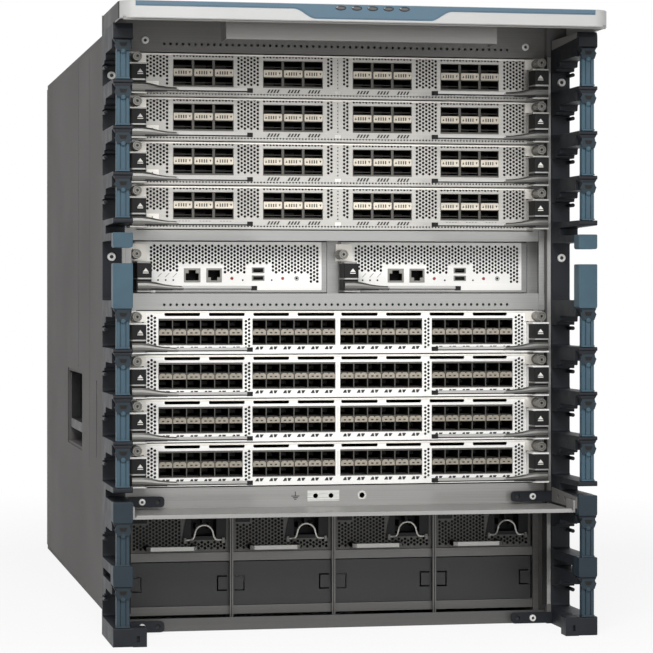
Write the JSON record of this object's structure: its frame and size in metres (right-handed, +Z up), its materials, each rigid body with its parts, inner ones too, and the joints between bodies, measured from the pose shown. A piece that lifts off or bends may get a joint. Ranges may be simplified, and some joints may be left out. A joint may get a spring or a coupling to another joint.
{
  "type": "modular chassis switch",
  "caption": "Rack-mounted modular chassis network switch with sliding port cards, supervisors, power units and fan trays, ejector levers, cable frames with gates and a front hood.",
  "frame": {"origin": "centre of the bounding box in X and Y, on the floor plane under the base", "axes": "+X to the right as seen from the front, +Y from the front to the back, +Z up; the cards, levers and hood face -Y"},
  "size_m": [0.4826, 1.044, 0.617],
  "materials": {
    "side_steel": "warm dark grey powder coat",
    "front_steel": "mid grey powder coat",
    "zinc_sheet": "plain zinc-plated sheet",
    "silver_rail": "satin silver",
    "shelf_grey": "dark grey powder coat",
    "hood_plastic": "silver painted plastic",
    "trim_blue": "blue-grey plastic",
    "frame_black": "near-black blue plastic",
    "gate_teal": "teal blue-grey plastic",
    "screw_steel": "bright steel",
    "card_silver": "satin silver faceplate",
    "card_white": "bright satin faceplate",
    "board_green": "circuit board",
    "lever_grey": "satin silver bar with a black head",
    "unit_dark": "dark perforated steel",
    "wire_steel": "bright wire",
    "blank_grey": "dark grey powder coat",
    "fan_steel": "zinc-plated sheet",
    "handle_black": "black powder coat"
  },
  "bodies": {
    "chassis": {"left_side_panel": "side_steel", "right_side_panel": "side_steel", "top_panel": "front_steel", "base_pan": "shelf_grey", "card_cage": "zinc_sheet", "midplane": "board_green", "supervisor_frame": "silver_rail", "lower_panel": "shelf_grey", "power_bay_frame": "front_steel", "hood": "hood_plastic", "hood_trim": "trim_blue", "left_cable_frame": "frame_black", "right_cable_frame": "frame_black", "cable_gates": "gate_teal", "frame_screws": "screw_steel"},
    "io_card_1": {"io_card_1": "card_silver"},
    "io_ejector_1_left": {"io_ejector_1_left": "lever_grey"},
    "io_ejector_1_right": {"io_ejector_1_right": "lever_grey"},
    "io_card_2": {"io_card_2": "card_silver"},
    "io_ejector_2_left": {"io_ejector_2_left": "lever_grey"},
    "io_ejector_2_right": {"io_ejector_2_right": "lever_grey"},
    "io_card_3": {"io_card_3": "card_silver"},
    "io_ejector_3_left": {"io_ejector_3_left": "lever_grey"},
    "io_ejector_3_right": {"io_ejector_3_right": "lever_grey"},
    "io_card_4": {"io_card_4": "card_silver"},
    "io_ejector_4_left": {"io_ejector_4_left": "lever_grey"},
    "io_ejector_4_right": {"io_ejector_4_right": "lever_grey"},
    "io_card_5": {"io_card_5": "card_white"},
    "io_ejector_5_left": {"io_ejector_5_left": "lever_grey"},
    "io_ejector_5_right": {"io_ejector_5_right": "lever_grey"},
    "io_card_6": {"io_card_6": "card_white"},
    "io_ejector_6_left": {"io_ejector_6_left": "lever_grey"},
    "io_ejector_6_right": {"io_ejector_6_right": "lever_grey"},
    "io_card_7": {"io_card_7": "card_white"},
    "io_ejector_7_left": {"io_ejector_7_left": "lever_grey"},
    "io_ejector_7_right": {"io_ejector_7_right": "lever_grey"},
    "io_card_8": {"io_card_8": "card_white"},
    "io_ejector_8_left": {"io_ejector_8_left": "lever_grey"},
    "io_ejector_8_right": {"io_ejector_8_right": "lever_grey"},
    "supervisor_1": {"supervisor_1": "card_white"},
    "supervisor_ejector_1": {"supervisor_ejector_1": "lever_grey"},
    "supervisor_2": {"supervisor_2": "card_white"},
    "supervisor_ejector_2": {"supervisor_ejector_2": "lever_grey"},
    "power_supply_1": {"power_supply_1": "unit_dark"},
    "cord_clip_1": {"cord_clip_1": "wire_steel"},
    "power_blank_5": {"power_blank_5": "blank_grey"},
    "power_supply_2": {"power_supply_2": "unit_dark"},
    "cord_clip_2": {"cord_clip_2": "wire_steel"},
    "power_blank_6": {"power_blank_6": "blank_grey"},
    "power_supply_3": {"power_supply_3": "unit_dark"},
    "cord_clip_3": {"cord_clip_3": "wire_steel"},
    "power_blank_7": {"power_blank_7": "blank_grey"},
    "power_supply_4": {"power_supply_4": "unit_dark"},
    "cord_clip_4": {"cord_clip_4": "wire_steel"},
    "power_blank_8": {"power_blank_8": "blank_grey"},
    "fan_tray_1": {"fan_tray_1": "fan_steel"},
    "fan_tray_2": {"fan_tray_2": "fan_steel"},
    "fan_tray_3": {"fan_tray_3": "fan_steel"},
    "left_handle": {"left_handle": "handle_black"},
    "right_handle": {"right_handle": "handle_black"}
  },
  "joints": [
    {"name": "io_card_1_slide", "type": "slide", "parent": "chassis", "child": "io_card_1", "axis": [0, -1, 0], "range_m": [0, 0.25]},
    {"name": "io_ejector_1_left_hinge", "type": "hinge", "parent": "io_card_1", "child": "io_ejector_1_left", "pos_m": [-0.2065, -0.3836, 0.54085], "axis": [0, 0, -1], "range_deg": [0, 60]},
    {"name": "io_ejector_1_right_hinge", "type": "hinge", "parent": "io_card_1", "child": "io_ejector_1_right", "pos_m": [0.2065, -0.3836, 0.54085], "axis": [0, 0, 1], "range_deg": [0, 60]},
    {"name": "io_card_2_slide", "type": "slide", "parent": "chassis", "child": "io_card_2", "axis": [0, -1, 0], "range_m": [0, 0.25]},
    {"name": "io_ejector_2_left_hinge", "type": "hinge", "parent": "io_card_2", "child": "io_ejector_2_left", "pos_m": [-0.2065, -0.3836, 0.4964], "axis": [0, 0, -1], "range_deg": [0, 60]},
    {"name": "io_ejector_2_right_hinge", "type": "hinge", "parent": "io_card_2", "child": "io_ejector_2_right", "pos_m": [0.2065, -0.3836, 0.4964], "axis": [0, 0, 1], "range_deg": [0, 60]},
    {"name": "io_card_3_slide", "type": "slide", "parent": "chassis", "child": "io_card_3", "axis": [0, -1, 0], "range_m": [0, 0.25]},
    {"name": "io_ejector_3_left_hinge", "type": "hinge", "parent": "io_card_3", "child": "io_ejector_3_left", "pos_m": [-0.2065, -0.3836, 0.45195], "axis": [0, 0, -1], "range_deg": [0, 60]},
    {"name": "io_ejector_3_right_hinge", "type": "hinge", "parent": "io_card_3", "child": "io_ejector_3_right", "pos_m": [0.2065, -0.3836, 0.45195], "axis": [0, 0, 1], "range_deg": [0, 60]},
    {"name": "io_card_4_slide", "type": "slide", "parent": "chassis", "child": "io_card_4", "axis": [0, -1, 0], "range_m": [0, 0.25]},
    {"name": "io_ejector_4_left_hinge", "type": "hinge", "parent": "io_card_4", "child": "io_ejector_4_left", "pos_m": [-0.2065, -0.3836, 0.4075], "axis": [0, 0, -1], "range_deg": [0, 60]},
    {"name": "io_ejector_4_right_hinge", "type": "hinge", "parent": "io_card_4", "child": "io_ejector_4_right", "pos_m": [0.2065, -0.3836, 0.4075], "axis": [0, 0, 1], "range_deg": [0, 60]},
    {"name": "io_card_5_slide", "type": "slide", "parent": "chassis", "child": "io_card_5", "axis": [0, -1, 0], "range_m": [0, 0.25]},
    {"name": "io_ejector_5_left_hinge", "type": "hinge", "parent": "io_card_5", "child": "io_ejector_5_left", "pos_m": [-0.2065, -0.3836, 0.28155], "axis": [0, 0, -1], "range_deg": [0, 60]},
    {"name": "io_ejector_5_right_hinge", "type": "hinge", "parent": "io_card_5", "child": "io_ejector_5_right", "pos_m": [0.2065, -0.3836, 0.28155], "axis": [0, 0, 1], "range_deg": [0, 60]},
    {"name": "io_card_6_slide", "type": "slide", "parent": "chassis", "child": "io_card_6", "axis": [0, -1, 0], "range_m": [0, 0.25]},
    {"name": "io_ejector_6_left_hinge", "type": "hinge", "parent": "io_card_6", "child": "io_ejector_6_left", "pos_m": [-0.2065, -0.3836, 0.2371], "axis": [0, 0, -1], "range_deg": [0, 60]},
    {"name": "io_ejector_6_right_hinge", "type": "hinge", "parent": "io_card_6", "child": "io_ejector_6_right", "pos_m": [0.2065, -0.3836, 0.2371], "axis": [0, 0, 1], "range_deg": [0, 60]},
    {"name": "io_card_7_slide", "type": "slide", "parent": "chassis", "child": "io_card_7", "axis": [0, -1, 0], "range_m": [0, 0.25]},
    {"name": "io_ejector_7_left_hinge", "type": "hinge", "parent": "io_card_7", "child": "io_ejector_7_left", "pos_m": [-0.2065, -0.3836, 0.19265], "axis": [0, 0, -1], "range_deg": [0, 60]},
    {"name": "io_ejector_7_right_hinge", "type": "hinge", "parent": "io_card_7", "child": "io_ejector_7_right", "pos_m": [0.2065, -0.3836, 0.19265], "axis": [0, 0, 1], "range_deg": [0, 60]},
    {"name": "io_card_8_slide", "type": "slide", "parent": "chassis", "child": "io_card_8", "axis": [0, -1, 0], "range_m": [0, 0.25]},
    {"name": "io_ejector_8_left_hinge", "type": "hinge", "parent": "io_card_8", "child": "io_ejector_8_left", "pos_m": [-0.2065, -0.3836, 0.1482], "axis": [0, 0, -1], "range_deg": [0, 60]},
    {"name": "io_ejector_8_right_hinge", "type": "hinge", "parent": "io_card_8", "child": "io_ejector_8_right", "pos_m": [0.2065, -0.3836, 0.1482], "axis": [0, 0, 1], "range_deg": [0, 60]},
    {"name": "supervisor_1_slide", "type": "slide", "parent": "chassis", "child": "supervisor_1", "axis": [0, -1, 0], "range_m": [0, 0.25]},
    {"name": "supervisor_ejector_1_hinge", "type": "hinge", "parent": "supervisor_1", "child": "supervisor_ejector_1", "pos_m": [-0.1982, -0.3566, 0.3432], "axis": [0, 0, -1], "range_deg": [0, 60]},
    {"name": "supervisor_2_slide", "type": "slide", "parent": "chassis", "child": "supervisor_2", "axis": [0, -1, 0], "range_m": [0, 0.25]},
    {"name": "supervisor_ejector_2_hinge", "type": "hinge", "parent": "supervisor_2", "child": "supervisor_ejector_2", "pos_m": [0.0138, -0.3566, 0.3432], "axis": [0, 0, -1], "range_deg": [0, 60]},
    {"name": "power_supply_1_slide", "type": "slide", "parent": "chassis", "child": "power_supply_1", "axis": [0, -1, 0], "range_m": [0, 0.2]},
    {"name": "cord_clip_1_hinge", "type": "hinge", "parent": "power_supply_1", "child": "cord_clip_1", "pos_m": [-0.134, -0.3401, 0.0887], "axis": [1, 0, 0], "range_deg": [0, 90]},
    {"name": "power_blank_5_slide", "type": "slide", "parent": "chassis", "child": "power_blank_5", "axis": [0, -1, 0], "range_m": [0, 0.08]},
    {"name": "power_supply_2_slide", "type": "slide", "parent": "chassis", "child": "power_supply_2", "axis": [0, -1, 0], "range_m": [0, 0.2]},
    {"name": "cord_clip_2_hinge", "type": "hinge", "parent": "power_supply_2", "child": "cord_clip_2", "pos_m": [-0.028, -0.3401, 0.0887], "axis": [1, 0, 0], "range_deg": [0, 90]},
    {"name": "power_blank_6_slide", "type": "slide", "parent": "chassis", "child": "power_blank_6", "axis": [0, -1, 0], "range_m": [0, 0.08]},
    {"name": "power_supply_3_slide", "type": "slide", "parent": "chassis", "child": "power_supply_3", "axis": [0, -1, 0], "range_m": [0, 0.2]},
    {"name": "cord_clip_3_hinge", "type": "hinge", "parent": "power_supply_3", "child": "cord_clip_3", "pos_m": [0.078, -0.3401, 0.0887], "axis": [1, 0, 0], "range_deg": [0, 90]},
    {"name": "power_blank_7_slide", "type": "slide", "parent": "chassis", "child": "power_blank_7", "axis": [0, -1, 0], "range_m": [0, 0.08]},
    {"name": "power_supply_4_slide", "type": "slide", "parent": "chassis", "child": "power_supply_4", "axis": [0, -1, 0], "range_m": [0, 0.2]},
    {"name": "cord_clip_4_hinge", "type": "hinge", "parent": "power_supply_4", "child": "cord_clip_4", "pos_m": [0.184, -0.3401, 0.0887], "axis": [1, 0, 0], "range_deg": [0, 90]},
    {"name": "power_blank_8_slide", "type": "slide", "parent": "chassis", "child": "power_blank_8", "axis": [0, -1, 0], "range_m": [0, 0.08]},
    {"name": "fan_tray_1_slide", "type": "slide", "parent": "chassis", "child": "fan_tray_1", "axis": [0, 1, 0], "range_m": [0, 0.15]},
    {"name": "fan_tray_2_slide", "type": "slide", "parent": "chassis", "child": "fan_tray_2", "axis": [0, 1, 0], "range_m": [0, 0.15]},
    {"name": "fan_tray_3_slide", "type": "slide", "parent": "chassis", "child": "fan_tray_3", "axis": [0, 1, 0], "range_m": [0, 0.15]},
    {"name": "left_handle_hinge", "type": "hinge", "parent": "chassis", "child": "left_handle", "pos_m": [-0.2122, 0.1279, 0.2385], "axis": [0, 1, 0], "range_deg": [0, 90]},
    {"name": "right_handle_hinge", "type": "hinge", "parent": "chassis", "child": "right_handle", "pos_m": [0.2122, 0.1279, 0.2385], "axis": [0, -1, 0], "range_deg": [0, 90]}
  ]
}
